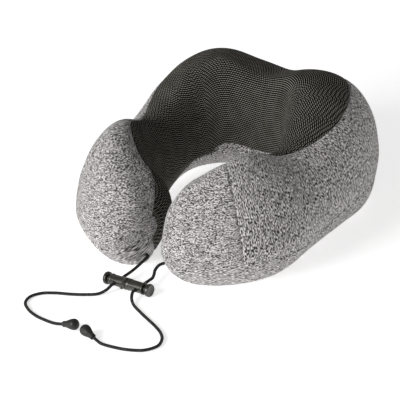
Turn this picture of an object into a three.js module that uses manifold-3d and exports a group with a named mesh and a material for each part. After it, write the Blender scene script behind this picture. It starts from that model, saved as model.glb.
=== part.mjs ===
// U shaped neck pillow: a foam core in a sewn fabric cover, a zip in the back
// seam, and two draw cords held by a double cord lock.
// Millimetres, +Z up. The pillow rests on z = 0 and opens towards -Y.
import * as THREE from "three";
import Module from "manifold-3d";

// ---------- driving dimensions ----------
// The arm's section is given at stations around the neck, in degrees from the
// middle of the back. The two halves of the pillow mirror each other.
const STATIONS = [0, 16, 32, 62, 90, 115, 138, 160];
const NECK_RADIUS = [70, 71, 71, 63, 59, 61, 59, 50];
const OUTER_RADIUS = [149, 152, 160.5, 139, 123, 132, 136, 132];
const TOP_HEIGHT = [126, 132, 138, 118, 101, 116, 110, 92];
const NECK_WAIST_HEIGHT = [45, 46, 47, 48, 42, 36, 35, 39];
const OUTER_WAIST_HEIGHT = [60, 61, 62, 58, 46, 41, 40, 35];
const RIDGE_PLACE = [0.21, 0.24, 0.31, 0.41, 0.36, 0.34, 0.46, 0.58];
const OUTER_ROUNDNESS = [2.3, 2.34, 2.4, 2.27, 1.8, 1.6, 1.5, 1.45];
const NECK_ROUNDNESS = [2.4, 2.42, 2.45, 2.5, 2.47, 2.32, 2.44, 2.63];
const BASE_PLACE = [0.8, 0.8, 0.8, 0.72, 0.49, 0.49, 0.49, 0.49];
const BASE_OUTER_ROUNDNESS = 1.6;
const BASE_NECK_ROUNDNESS = 1.26;
// Where the base point is below the floor, the base is cut flat at the floor.
const BASE_HEIGHT = [-2, -2, 1, 8, -3, -5, -5, -5];
const LAST_STATION_USED = 164;
const TIP_START = 152.7;
const TIP_END = 171.5;
const TIP_ROUNDNESS = 2.5;

// Seams, as places around the section: 0 neck side, 1 top, 2 outside, 3 base.
const NECK_TOP_SEAM = [1.6, 1.52, 1.41, 1.35, 1.07, 0.83, 0.56, 0.6];
const OUTER_BASE_SEAM = [2.42, 2.424, 2.44, 2.4, 2.36, 2.26, 2.16, 2.2];
const NECK_BASE_SEAM = [4.03, 4.035, 4.037, 3.77, 3.24, 3.27, 3.27, 3.3];
const TIP_SEAM_ANGLE = 132;

const FABRIC = 1.5;
const FOAM_CLEARANCE = 0.5;
const SEAM_GAP = 0.6;

// Zip in the back seam: a flat-lying arc about a vertical axis. The arc meets
// the seam at the middle of the back and at this angle to each side.
const ZIP_SEAM_ANGLE = 24;
const ZIP_LENGTH = 132;
const ZIP_WINDOW = 6.4;
const ZIP_WINDOW_ANGLE = 30;
const TAPE_WIDTH = 2.7;
const TAPE_THICK = 0.8;
const COIL_WIDTH = 1.6;
const COIL_THICK = 1.6;
const COIL_CENTRE_GAP = 1.3;
const ZIP_CLEARANCE = 0.3;
const ZIP_DEPTH = 1;
const FOAM_ZIP_CLEARANCE = 0.5;
const ZIP_BOW = 1.7;
const SLIDER_LENGTH = 9;
const SLIDER_WIDTH = 7.4;
const SLIDER_PLATE = 0.9;
const SLIDER_PARK_GAP = 1.5;
const PIN_RADIUS = 0.6;
const PIN_STAND_OFF = 1.9;
const PULL_LENGTH = 13;
const PULL_WIDTH = 4;
const PULL_THICK = 1.2;

// Cords, lock and cord ends.
const CORD_RADIUS = 1.5;
const CORD_SIDES = 8;
const LOCK_CORD_PLACE = 13;
const LOCK_END_WALL = 7;
const LOCK_BORE = 4;
const LOCK_WALL = 1.7;
const LOCK_MIDDLE_WALL = 3;
const LOCK_CORD_CLEARANCE = 0.45;
const LOCK_FLOOR_GAP = 0.2;
const BOSS_RADIUS = 2.3;
const BOSS_SINK = 1.12;
const BUTTON_TRAVEL = 3;
const BUTTON_STOP_GAP = 0.3;
const STEM_CLEARANCE = 0.4;
const STEM_SEAT = 2.6;
const BUTTON_RIM = 0.5;
const BUTTON_HEAD_THICK = 3.7;
const SPRING_WIRE = 0.35;
const SPRING_CLEARANCE = 1.05;
const SPRING_TURNS = 4;
const END_LENGTH = 17;
const END_RADIUS = 5.3;
const END_CLEARANCE = 0.4;
const END_HOLE_DEPTH = 4.2;
const END_GAP = 0.3;

// What fits together takes its size from the same values.
const LOCK_RADIUS = LOCK_BORE + LOCK_WALL;
const LOCK_HALF_LENGTH = LOCK_CORD_PLACE + LOCK_END_WALL;
const LOCK_CORD_HOLE = CORD_RADIUS + LOCK_CORD_CLEARANCE;
const BUTTON_STEM = LOCK_BORE - STEM_CLEARANCE;
const BUTTON_HEAD = LOCK_RADIUS + BUTTON_RIM;
const SPRING_RADIUS = LOCK_BORE - SPRING_CLEARANCE - SPRING_WIRE;
const LOCK_CENTRE = new THREE.Vector3(-4.5, -148.5, BUTTON_HEAD + LOCK_FLOOR_GAP);
const END_HOLE = CORD_RADIUS + END_CLEARANCE;

// ---------- materials ----------
function material(color, roughness, metalness = 0) {
  return new THREE.MeshStandardMaterial({ color, roughness, metalness });
}
const greyFabric = material(0x8e8c8b, 0.95);
const meshFabric = material(0x2b2a28, 0.9);
const foam = material(0xe6e1d3, 0.95);
const zipTape = material(0x3a3a3a, 0.9);
const zipPlastic = material(0x2a2a2b, 0.55);
const zipMetal = material(0x8a8c8f, 0.35, 0.9);
const cordBraid = material(0x1c1b1a, 0.9);
const lockPlastic = material(0x2c2b24, 0.4);
const springSteel = material(0xb0b2b5, 0.3, 1);
const endRubber = material(0x1d1c1a, 0.6);

function part(name, geometry, look) {
  const mesh = new THREE.Mesh(geometry, look);
  mesh.name = name;
  return mesh;
}

// ---------- smooth curves through the stations ----------
function splineSlopes(places, values) {
  const count = places.length;
  const upper = new Array(count).fill(0);
  const curve = new Array(count).fill(0);
  for (let i = 1; i < count - 1; i += 1) {
    const before = places[i] - places[i - 1];
    const after = places[i + 1] - places[i];
    const pivot = 2 * (before + after) - before * upper[i - 1];
    const bend = (values[i + 1] - values[i]) / after - (values[i] - values[i - 1]) / before;
    upper[i] = after / pivot;
    curve[i] = (6 * bend - before * curve[i - 1]) / pivot;
  }
  for (let i = count - 2; i > 0; i -= 1) {
    curve[i] -= upper[i] * curve[i + 1];
  }
  return curve;
}

function stationCurve(values) {
  const places = [...STATIONS.slice(1).reverse().map((place) => -place), ...STATIONS];
  const heights = [...values.slice(1).reverse(), ...values];
  const curve = splineSlopes(places, heights);
  return (angle) => {
    const at = Math.min(Math.abs(angle), LAST_STATION_USED);
    let i = places.length - 2;
    while (i > 0 && places[i] > at) {
      i -= 1;
    }
    const span = places[i + 1] - places[i];
    const b = (at - places[i]) / span;
    const a = 1 - b;
    const sag = ((a ** 3 - a) * curve[i] + (b ** 3 - b) * curve[i + 1]) * span * span / 6;
    return a * heights[i] + b * heights[i + 1] + sag;
  };
}

const neckRadius = stationCurve(NECK_RADIUS);
const outerRadius = stationCurve(OUTER_RADIUS);
const topHeight = stationCurve(TOP_HEIGHT);
const neckWaist = stationCurve(NECK_WAIST_HEIGHT);
const outerWaist = stationCurve(OUTER_WAIST_HEIGHT);
const ridgePlace = stationCurve(RIDGE_PLACE);
const outerRoundness = stationCurve(OUTER_ROUNDNESS);
const neckRoundness = stationCurve(NECK_ROUNDNESS);
const neckTopSeam = stationCurve(NECK_TOP_SEAM);
const outerBaseSeam = stationCurve(OUTER_BASE_SEAM);
const neckBaseSeam = stationCurve(NECK_BASE_SEAM);
const basePlace = stationCurve(BASE_PLACE);
const baseHeight = stationCurve(BASE_HEIGHT);

// ---------- the pillow's surface ----------
// One quarter of the section, from a side point to the top or base point.
function quarter(turn, side, crest, roundness) {
  const angle = turn * Math.PI / 2;
  const across = Math.cos(angle) ** (2 / roundness);
  const along = Math.sin(angle) ** (2 / roundness);
  return new THREE.Vector2(
    crest.x + (side.x - crest.x) * across,
    side.y + (crest.y - side.y) * along,
  );
}

function sectionPoint(angle, place) {
  const inside = neckRadius(angle);
  const outside = outerRadius(angle);
  const width = outside - inside;
  const neckSide = new THREE.Vector2(inside, neckWaist(angle));
  const outerSide = new THREE.Vector2(outside, outerWaist(angle));
  const ridge = new THREE.Vector2(inside + width * ridgePlace(angle), topHeight(angle));
  const base = new THREE.Vector2(inside + width * basePlace(angle), baseHeight(angle));
  const around = ((place % 4) + 4) % 4;
  if (around < 1) {
    return quarter(around, neckSide, ridge, neckRoundness(angle));
  }
  if (around < 2) {
    return quarter(2 - around, outerSide, ridge, outerRoundness(angle));
  }
  if (around < 3) {
    return quarter(around - 2, outerSide, base, BASE_OUTER_ROUNDNESS);
  }
  return quarter(4 - around, neckSide, base, BASE_NECK_ROUNDNESS);
}

function tipSize(angle) {
  const into = Math.max(0, (Math.abs(angle) - TIP_START) / (TIP_END - TIP_START));
  return (1 - Math.min(1, into) ** TIP_ROUNDNESS) ** (1 / TIP_ROUNDNESS);
}

function tipAngle(size) {
  return TIP_START + (TIP_END - TIP_START) * (1 - size ** TIP_ROUNDNESS) ** (1 / TIP_ROUNDNESS);
}

function surfacePoint(angle, place) {
  const size = tipSize(angle);
  const flat = sectionPoint(angle, place);
  const middle = new THREE.Vector2(
    (neckRadius(angle) + outerRadius(angle)) / 2,
    (neckWaist(angle) + outerWaist(angle)) / 2,
  );
  const radius = middle.x + (flat.x - middle.x) * size;
  const height = Math.max(0, middle.y + (flat.y - middle.y) * size);
  const turn = THREE.MathUtils.degToRad(angle);
  return new THREE.Vector3(radius * Math.sin(turn), radius * Math.cos(turn), height);
}

function surfaceNormal(angle, place) {
  const reach = Math.min(0.4, (TIP_END - Math.abs(angle)) / 2);
  const along = surfacePoint(angle + reach, place).sub(surfacePoint(angle - reach, place));
  const across = surfacePoint(angle, place + 0.012).sub(surfacePoint(angle, place - 0.012));
  return along.cross(across).normalize();
}

function tipDirection(side) {
  const turn = THREE.MathUtils.degToRad(side * TIP_END);
  return new THREE.Vector3(side * Math.cos(turn), -side * Math.sin(turn), 0);
}

// ---------- the grid that the cover and the foam share ----------
function spaced(start, end, count) {
  const list = [];
  for (let i = 0; i <= count; i += 1) {
    list.push(start + (end - start) * i / count);
  }
  return list;
}

const SEAM_TURN = 0.18;
const TIP_RINGS = [0.98, 0.92, 0.82, 0.68, 0.52, 0.38, 0.3];
const TIP_PATCH = 0.289;
const halfRows = [
  ...spaced(0, 24, 4),
  ZIP_WINDOW_ANGLE - 1,
  ZIP_WINDOW_ANGLE + 1,
  ...spaced(38, TIP_SEAM_ANGLE - 10, 9),
  TIP_SEAM_ANGLE - SEAM_TURN / 2,
  TIP_SEAM_ANGLE + SEAM_TURN / 2,
  139,
  146,
  TIP_START,
  ...TIP_RINGS.map(tipAngle),
  tipAngle(TIP_PATCH),
];
const rows = [...halfRows.slice(1).reverse().map((row) => -row), ...halfRows];
const lastRow = rows.length - 1;
const isGapRow = (i) => Math.abs(Math.abs(rows[i] + rows[i + 1]) / 2 - TIP_SEAM_ANGLE) < 0.01;
const isPatchRow = (i) => i === 0 || i === lastRow - 1;

function millimetresPerPlace(angle, place) {
  const ahead = surfacePoint(angle, place + 0.02);
  return ahead.distanceTo(surfacePoint(angle, place - 0.02)) / 0.04;
}

function seamHalfGap(angle) {
  return Math.abs(angle) < ZIP_WINDOW_ANGLE ? ZIP_WINDOW : SEAM_GAP / 2;
}

const SIDE_COLUMNS = 6;
const UNDER_COLUMNS = 4;
const NECK_COLUMNS = 7;
const BASE_FLAT = 0.2;
function columnsAt(angle) {
  const top = neckTopSeam(angle);
  const outer = outerBaseSeam(angle);
  const neck = neckBaseSeam(angle);
  const topGap = SEAM_GAP / 2 / millimetresPerPlace(angle, top);
  const neckGap = SEAM_GAP / 2 / millimetresPerPlace(angle, neck);
  const outerGap = seamHalfGap(angle) / millimetresPerPlace(angle, outer);
  return [
    ...spaced(top + topGap, outer - outerGap, SIDE_COLUMNS),
    ...spaced(outer + outerGap, 3 - BASE_FLAT, 2),
    3,
    ...spaced(3 + BASE_FLAT, neck - neckGap, UNDER_COLUMNS),
    ...spaced(neck + neckGap, 4 + top - topGap, NECK_COLUMNS),
  ];
}
const SIDE = [0, SIDE_COLUMNS];
const BASE = [SIDE_COLUMNS + 1, SIDE_COLUMNS + 5 + UNDER_COLUMNS];
const NECK = [BASE[1] + 1, BASE[1] + 1 + NECK_COLUMNS];

// The two edges of a seam share one direction, so that they never cross.
const SEAMS = [[SIDE[1], BASE[0]], [BASE[1], NECK[0]], [NECK[1], SIDE[0]]];
const grid = rows.map((angle) => {
  const row = columnsAt(angle).map((place) => ({
    angle,
    place,
    at: surfacePoint(angle, place),
    out: surfaceNormal(angle, place),
  }));
  for (const [before, after] of SEAMS) {
    const shared = row[before].out.clone().add(row[after].out).normalize();
    row[before].out = shared;
    row[after].out = shared;
  }
  return row;
});
const columns = grid[0].length;

// A sheet of fabric over chosen cells of the grid.
function sheet(cells, tips) {
  const positions = [];
  const numbers = new Map();
  function vertex(key, at, out, depth) {
    const id = `${key}:${depth}`;
    if (!numbers.has(id)) {
      const point = at.clone().addScaledVector(out, -depth);
      numbers.set(id, positions.length / 3);
      positions.push(point.x, point.y, point.z);
    }
    return numbers.get(id);
  }
  function node(key, depth) {
    if (key[0] === "tip") {
      const side = key[1];
      const at = surfacePoint(side * TIP_END, 0);
      return vertex(`tip${side}`, at, tipDirection(side), depth);
    }
    const [i, j] = key;
    return vertex(`${i},${j}`, grid[i][j].at, grid[i][j].out, depth);
  }
  const faces = cells.map(([i, j]) => {
    const next = (j + 1) % columns;
    return [[i, j], [i + 1, j], [i + 1, next], [i, next]];
  });
  for (const side of tips) {
    const i = side > 0 ? lastRow : 0;
    for (let j = 0; j < columns; j += 1) {
      const next = (j + 1) % columns;
      faces.push(side > 0 ? [["tip", side], [i, next], [i, j]] : [["tip", side], [i, j], [i, next]]);
    }
  }
  const edges = new Map();
  const index = [];
  for (const face of faces) {
    for (let k = 1; k < face.length - 1; k += 1) {
      const corners = [face[0], face[k], face[k + 1]];
      index.push(...corners.map((key) => node(key, 0)));
      index.push(...corners.reverse().map((key) => node(key, FABRIC)));
    }
    face.forEach((key, k) => {
      const to = face[(k + 1) % face.length];
      const back = `${to}|${key}`;
      if (edges.has(back)) {
        edges.delete(back);
      } else {
        edges.set(`${key}|${to}`, [key, to]);
      }
    });
  }
  for (const [from, to] of edges.values()) {
    const a = node(from, 0);
    const b = node(to, 0);
    const c = node(to, FABRIC);
    const d = node(from, FABRIC);
    index.push(a, d, c, a, c, b);
  }
  return indexed(positions, index);
}

function indexed(positions, index) {
  const geometry = new THREE.BufferGeometry();
  geometry.setAttribute("position", new THREE.Float32BufferAttribute(positions, 3));
  geometry.setIndex(index);
  geometry.computeVertexNormals();
  return geometry;
}

function cellsOf(keepRow, [first, last]) {
  const list = [];
  for (let i = 0; i < lastRow; i += 1) {
    for (let j = first; j < last && keepRow(i); j += 1) {
      list.push([i, j]);
    }
  }
  return list;
}

const rowMiddle = (i) => (rows[i] + rows[i + 1]) / 2;
const inBack = (i) => Math.abs(rowMiddle(i)) < TIP_SEAM_ANGLE && !isGapRow(i);
const inTip = (side) => (i) => side * rowMiddle(i) > TIP_SEAM_ANGLE && !isGapRow(i);
const beforePatch = (i) => !isPatchRow(i);

function tipPanel(side) {
  return sheet(cellsOf(inTip(side), SIDE), [side]);
}

// The foam fills the whole cover. Behind the zip it is relieved for the slider.
const sliderDepth = ZIP_DEPTH + ZIP_CLEARANCE + SLIDER_PLATE;
function foamDepth(i, j) {
  const nearZip = j >= SIDE[1] - 1 && j <= BASE[0] + 1 && Math.abs(rows[i]) < ZIP_WINDOW_ANGLE + 4;
  const relief = sliderDepth + ZIP_BOW + FOAM_ZIP_CLEARANCE;
  return Math.max(FABRIC + FOAM_CLEARANCE, nearZip ? relief : 0);
}

function foamCore() {
  const positions = [];
  const index = [];
  const depth = FABRIC + FOAM_CLEARANCE;
  grid.forEach((row, i) => row.forEach((node, j) => {
    const point = node.at.clone().addScaledVector(node.out, -foamDepth(i, j));
    positions.push(point.x, point.y, point.z);
  }));
  for (let i = 0; i < lastRow; i += 1) {
    for (let j = 0; j < columns; j += 1) {
      const next = (j + 1) % columns;
      const a = i * columns + j;
      const b = i * columns + next;
      index.push(a, b + columns, b, a, a + columns, b + columns);
    }
  }
  for (const side of [-1, 1]) {
    const tip = surfacePoint(side * TIP_END, 0).addScaledVector(tipDirection(side), -depth);
    const number = positions.length / 3;
    const start = side > 0 ? lastRow * columns : 0;
    positions.push(tip.x, tip.y, tip.z);
    for (let j = 0; j < columns; j += 1) {
      const a = start + j;
      const b = start + (j + 1) % columns;
      index.push(...(side > 0 ? [number, b, a] : [number, a, b]));
    }
  }
  return indexed(positions, index);
}

// ---------- the zip ----------
// Its frame at the middle of the back: the seam point, the outward direction
// and the direction up the cover.
const zipSeam = surfacePoint(0, outerBaseSeam(0));
const zipSide = surfacePoint(ZIP_SEAM_ANGLE, outerBaseSeam(ZIP_SEAM_ANGLE));
const zipSag = zipSeam.y - zipSide.y;
const ZIP_ARC_RADIUS = (zipSide.x ** 2 + zipSag ** 2) / (2 * zipSag);
const alongZip = (length) => THREE.MathUtils.radToDeg(length / ZIP_ARC_RADIUS);
const ZIP_HALF_SPAN = alongZip(ZIP_LENGTH / 2);
const TAPE_TAIL = alongZip(3.2);
const SLIDER_PARKED = ZIP_HALF_SPAN - alongZip(SLIDER_LENGTH / 2 + SLIDER_PARK_GAP);
const zipAxisY = zipSeam.y - ZIP_ARC_RADIUS;
const zipOut = surfaceNormal(0, outerBaseSeam(0));
const zipUp = new THREE.Vector3(0, -zipOut.z, zipOut.y);

// A profile of (up the cover, outward) points swept about the zip's axis.
function zipSweep(profile, startAngle, endAngle, count) {
  const positions = [];
  const index = [];
  const points = profile.map(([up, out]) => ({
    radius: ZIP_ARC_RADIUS + up * zipUp.y + out * zipOut.y,
    height: zipSeam.z + up * zipUp.z + out * zipOut.z,
  }));
  const turns = spaced(startAngle, endAngle, count).map(THREE.MathUtils.degToRad);
  for (const turn of turns) {
    for (const { radius, height } of points) {
      positions.push(radius * Math.sin(turn), zipAxisY + radius * Math.cos(turn), height);
    }
  }
  const ring = points.length;
  for (let i = 0; i < count; i += 1) {
    for (let k = 0; k < ring; k += 1) {
      const a = i * ring + k;
      const b = i * ring + (k + 1) % ring;
      index.push(a, b + ring, b, a, a + ring, b + ring);
    }
  }
  const shape = THREE.ShapeUtils.triangulateShape(profile.map(([x, y]) => new THREE.Vector2(x, y)), []);
  const end = count * ring;
  for (const [a, b, c] of shape) {
    index.push(a, b, c, end + a, end + c, end + b);
  }
  return indexed(positions, index);
}

function zipBand(from, to, low, high) {
  return [[from, low], [to, low], [to, high], [from, high]];
}

const coilInner = COIL_CENTRE_GAP / 2;
const coilOuter = coilInner + COIL_WIDTH;
const tapeInner = coilOuter + ZIP_CLEARANCE;
const tapeOuter = tapeInner + TAPE_WIDTH;
const coilBase = -ZIP_DEPTH;
const coilTop = coilBase + COIL_THICK;

function zipTapeBand(side) {
  const band = zipBand(tapeInner, tapeOuter, coilBase, coilBase + TAPE_THICK);
  return zipSweep(side > 0 ? band : mirrored(band), -ZIP_HALF_SPAN - TAPE_TAIL, ZIP_HALF_SPAN + TAPE_TAIL, 20);
}

function mirrored(band) {
  return band.map(([up, out]) => [-up, out]).reverse();
}

function zipCoil(side) {
  const band = zipBand(coilInner, coilOuter, coilBase, coilTop);
  return zipSweep(side > 0 ? band : mirrored(band), -ZIP_HALF_SPAN, ZIP_HALF_SPAN, 20);
}

function zipStop(side) {
  const start = side * (ZIP_HALF_SPAN + alongZip(0.4));
  const end = side * (ZIP_HALF_SPAN + alongZip(2.9));
  const band = zipBand(-coilOuter, coilOuter, coilBase, coilTop + 0.3);
  return zipSweep(band, Math.min(start, end), Math.max(start, end), 1);
}

// Two plates joined by a web that runs between the coils, with two ears and a
// pin on top for the pull tab.
function zipSlider() {
  const half = SLIDER_WIDTH / 2;
  const web = coilInner - ZIP_CLEARANCE;
  const low = coilBase - ZIP_CLEARANCE;
  const high = coilTop + ZIP_CLEARANCE;
  const profile = [
    [-half, low - SLIDER_PLATE],
    [half, low - SLIDER_PLATE],
    [half, low],
    [web, low],
    [web, high],
    [half, high],
    [half, high + SLIDER_PLATE],
    [-half, high + SLIDER_PLATE],
    [-half, high],
    [-web, high],
    [-web, low],
    [-half, low],
  ];
  const reach = alongZip(SLIDER_LENGTH / 2);
  return zipSweep(profile, SLIDER_PARKED - reach, SLIDER_PARKED + reach, 2);
}

// ---------- solid booleans ----------
const kernel = await Module();
kernel.setup();

function toManifold(geometry) {
  const merged = weld(geometry);
  return new kernel.Manifold(new kernel.Mesh({
    numProp: 3,
    vertProperties: merged.positions,
    triVerts: merged.index,
  }));
}

function weld(geometry) {
  const source = geometry.attributes.position;
  const order = geometry.index ? Array.from(geometry.index.array) : [...Array(source.count).keys()];
  const numbers = new Map();
  const positions = [];
  const renumber = order.map((from) => {
    const point = [source.getX(from), source.getY(from), source.getZ(from)];
    const key = point.map((value) => Math.round(value * 1e4)).join();
    if (!numbers.has(key)) {
      numbers.set(key, positions.length / 3);
      positions.push(...point);
    }
    return numbers.get(key);
  });
  const index = [];
  for (let i = 0; i < renumber.length; i += 3) {
    const [a, b, c] = renumber.slice(i, i + 3);
    if (a !== b && b !== c && a !== c) {
      index.push(a, b, c);
    }
  }
  return { positions: new Float32Array(positions), index: new Uint32Array(index) };
}

function fromManifold(solid) {
  const mesh = solid.getMesh();
  return indexed(Array.from(mesh.vertProperties), Array.from(mesh.triVerts));
}

function boxSolid(size, centre) {
  return kernel.Manifold.cube(size, true).translate(centre);
}

// A solid of revolution about the X axis from (along, radius) points.
function turned(profile, sides) {
  const lathe = new THREE.LatheGeometry(profile.map(([along, radius]) => new THREE.Vector2(radius, along)), sides);
  lathe.rotateZ(-Math.PI / 2);
  return toManifold(lathe);
}

function pinHole(radius, length, centre) {
  const rod = kernel.Manifold.cylinder(length, radius, radius, 16, true);
  return rod.rotate([90, 0, 0]).translate(centre);
}

// ---------- pull tab and its pin ----------
const pinOut = coilTop + ZIP_CLEARANCE + SLIDER_PLATE + PIN_STAND_OFF;
const pinRadius = ZIP_ARC_RADIUS + pinOut * zipOut.y;
const pinHeight = zipSeam.z + pinOut * zipOut.z;

// Shapes made about the pin, with X along the zip and Y outwards, are moved to
// the parked slider by this matrix.
function atSlider() {
  const turn = THREE.MathUtils.degToRad(SLIDER_PARKED);
  const place = new THREE.Matrix4().makeRotationZ(-turn);
  place.setPosition(pinRadius * Math.sin(turn), zipAxisY + pinRadius * Math.cos(turn), pinHeight);
  return place;
}

function sliderWithPin() {
  const earReach = PULL_WIDTH / 2 + ZIP_CLEARANCE;
  const earThick = 0.9;
  const lean = Math.atan2(zipOut.z, zipOut.y) * 180 / Math.PI;
  const back = atSlider().invert();
  let solid = toManifold(zipSlider().applyMatrix4(back));
  for (const side of [-1, 1]) {
    const middle = side * (earReach + earThick / 2);
    const ear = boxSolid([earThick, PIN_STAND_OFF + 1.1, 2.2], [middle, -(PIN_STAND_OFF - 0.6) / 2, 0]);
    solid = solid.add(ear.rotate([lean, 0, 0]));
  }
  const pin = kernel.Manifold.cylinder(2 * earReach + earThick, PIN_RADIUS, PIN_RADIUS, 12, true);
  solid = solid.add(pin.rotate([0, 90, 0]));
  return fromManifold(solid).applyMatrix4(atSlider());
}

function pullTab() {
  const eye = PIN_RADIUS + 0.3;
  const shape = new THREE.Shape();
  const half = PULL_THICK / 2;
  const ring = eye + 0.7;
  const start = Math.asin(half / ring);
  shape.moveTo(half, -PULL_LENGTH);
  shape.absarc(0, 0, ring, -Math.PI / 2 + start, 1.5 * Math.PI - start, false);
  shape.lineTo(-half, -PULL_LENGTH);
  const hole = new THREE.Path();
  hole.absarc(0, 0, eye, 0, 2 * Math.PI, true);
  shape.holes.push(hole);
  const options = { depth: PULL_WIDTH, bevelEnabled: false, curveSegments: 10 };
  const geometry = new THREE.ExtrudeGeometry(shape, options);
  geometry.translate(0, 0, -PULL_WIDTH / 2);
  geometry.applyMatrix4(new THREE.Matrix4().set(0, 0, 1, 0, 1, 0, 0, 0, 0, 1, 0, 0, 0, 0, 0, 1));
  return geometry.applyMatrix4(atSlider());
}

// ---------- cord lock ----------
const BARREL_SIDES = 24;
function lockBarrel() {
  const wall = LOCK_MIDDLE_WALL / 2;
  const end = LOCK_HALF_LENGTH;
  const side = [
    [0.6, LOCK_RADIUS - 0.7],
    [1.2, LOCK_RADIUS],
    [end - 1.2, LOCK_RADIUS],
    [end, LOCK_RADIUS - 0.8],
    [end, LOCK_BORE],
    [wall, LOCK_BORE],
    [wall, 0],
  ];
  const otherSide = side.map(([along, radius]) => [-along, radius]).reverse();
  let solid = turned([...otherSide, ...side], BARREL_SIDES);
  for (const hand of [-1, 1]) {
    solid = solid.subtract(pinHole(LOCK_CORD_HOLE, 4 * LOCK_RADIUS, [hand * LOCK_CORD_PLACE, 0, 0]));
  }
  const reach = LOCK_RADIUS - BOSS_SINK;
  const boss = kernel.Manifold.sphere(BOSS_RADIUS, 12).translate([-5.2, -0.85 * reach, -0.52 * reach]);
  const core = kernel.Manifold.cylinder(12, LOCK_BORE + 0.3, LOCK_BORE + 0.3, BARREL_SIDES, true);
  const outerBoss = boss.subtract(core.rotate([0, 90, 0]).translate([-5.2, 0, 0]));
  return fromManifold(solid.add(outerBoss));
}

const slotStart = LOCK_CORD_PLACE - CORD_RADIUS - 0.3;
const stemStart = slotStart - STEM_SEAT;
const headStart = LOCK_HALF_LENGTH + BUTTON_TRAVEL + BUTTON_STOP_GAP;
function lockButton(hand) {
  const stemEnd = headStart + 0.8;
  const headEnd = headStart + BUTTON_HEAD_THICK;
  const profile = [
    [stemStart, 0],
    [stemStart, BUTTON_STEM],
    [stemEnd, BUTTON_STEM],
    [headStart + 0.3, BUTTON_HEAD - 0.5],
    [headStart + 1, BUTTON_HEAD],
    [headEnd - 1, BUTTON_HEAD],
    [headEnd, BUTTON_HEAD - 1.2],
    [headEnd, 0],
  ];
  const slotLength = 2 * CORD_RADIUS + BUTTON_TRAVEL + 1;
  const slotMiddle = slotStart + slotLength / 2;
  let solid = turned(profile, 20);
  solid = solid.subtract(boxSolid([slotLength, 20, 2 * LOCK_CORD_HOLE], [slotMiddle, 0, 0]));
  return fromManifold(hand > 0 ? solid : solid.rotate([0, 0, 180]));
}

class Helix extends THREE.Curve {
  constructor(start, length, radius, turns) {
    super();
    Object.assign(this, { start, length, radius, turns });
  }

  getPoint(t) {
    const angle = 2 * Math.PI * this.turns * t;
    const along = this.start + this.length * t;
    return new THREE.Vector3(along, this.radius * Math.cos(angle), this.radius * Math.sin(angle));
  }
}

function roundShape(radius, sides) {
  const points = [];
  for (let i = 0; i < sides; i += 1) {
    const angle = 2 * Math.PI * i / sides;
    points.push(new THREE.Vector2(radius * Math.cos(angle), radius * Math.sin(angle)));
  }
  return new THREE.Shape(points);
}

function tubeAlong(curve, radius, sides, steps) {
  const options = { steps, extrudePath: curve, bevelEnabled: false };
  return new THREE.ExtrudeGeometry(roundShape(radius, sides), options);
}

function lockSpring(hand) {
  const start = LOCK_MIDDLE_WALL / 2 + SPRING_WIRE + 0.15;
  const end = stemStart - SPRING_WIRE - 0.3;
  const helix = new Helix(start, end - start, SPRING_RADIUS, SPRING_TURNS);
  const geometry = tubeAlong(helix, SPRING_WIRE, 5, 36);
  return hand > 0 ? geometry : geometry.rotateZ(Math.PI);
}

// ---------- cords ----------
const CORD_EXIT_ANGLE = 169.5;
const CORD_EXIT_PLACE = 2.82;
const LIES = CORD_RADIUS + 0.2;

function throughLock(x) {
  const ys = [-129.5, -133, -141, -148.5, -155, -157.5];
  return ys.map((y) => new THREE.Vector3(x, y, LOCK_CENTRE.z));
}

function fromExit(side, pillowShift) {
  const angle = side * CORD_EXIT_ANGLE;
  const out = surfaceNormal(angle, CORD_EXIT_PLACE);
  const exit = surfacePoint(angle, CORD_EXIT_PLACE);
  exit.y += pillowShift;
  return [0.35, 1.8, 3.4].map((reach) => exit.clone().addScaledVector(out, reach));
}

function route(list) {
  return list.map(([x, y, z]) => new THREE.Vector3(x, y, z));
}

const END_LIP = END_HOLE + 0.9;
const END_TILT = Math.asin((END_RADIUS - END_LIP) / 12.5);
function cordEndFrame(start, towards) {
  const flat = new THREE.Vector3(towards.x - start.x, towards.y - start.y, 0).normalize();
  const axis = flat.multiplyScalar(Math.cos(END_TILT));
  axis.z = Math.sin(END_TILT);
  return { start, axis };
}

const leftEnd = cordEndFrame(new THREE.Vector3(-14.2, -230.5, 3.4), new THREE.Vector3(3, -229, 0));
const rightEnd = cordEndFrame(new THREE.Vector3(26, -235.5, 3.4), new THREE.Vector3(9, -231, 0));

function intoEnd({ start, axis }) {
  return [-12, -6, 0, END_HOLE_DEPTH - END_GAP].map((reach) => {
    const point = start.clone().addScaledVector(axis, reach);
    point.z = Math.max(point.z, LIES);
    return point;
  });
}

function cordPath(side, pillowShift) {
  const x = LOCK_CENTRE.x + side * LOCK_CORD_PLACE;
  const toLock = side > 0
    ? route([[7.5, -107.2, 11.6], [2.6, -111, 9.8], [3, -118, 8], [6.6, -124.5, 6.8]])
    : route([[-14.6, -113.5, 11], [-16.8, -122, 7.6]]);
  const loop = side > 0
    ? route([[11, -163, 4], [18, -169.5, 2], [34, -178, LIES], [48, -184.5, LIES], [62, -191, LIES],
      [74, -198, LIES], [82, -206, LIES], [86, -217, LIES], [80, -228.5, LIES], [67, -235, LIES],
      [52, -238, LIES]])
    : route([[-19, -163.5, 4], [-23.5, -170, 2], [-34, -177, LIES], [-47, -183, LIES], [-61, -188, LIES],
      [-73, -195, LIES], [-78, -204.5, LIES], [-75, -215, LIES], [-64, -223.5, LIES], [-50, -229, LIES],
      [-38, -231, LIES]]);
  const end = side > 0 ? rightEnd : leftEnd;
  return [...fromExit(side, pillowShift), ...toLock, ...throughLock(x), ...loop, ...intoEnd(end)];
}

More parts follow.
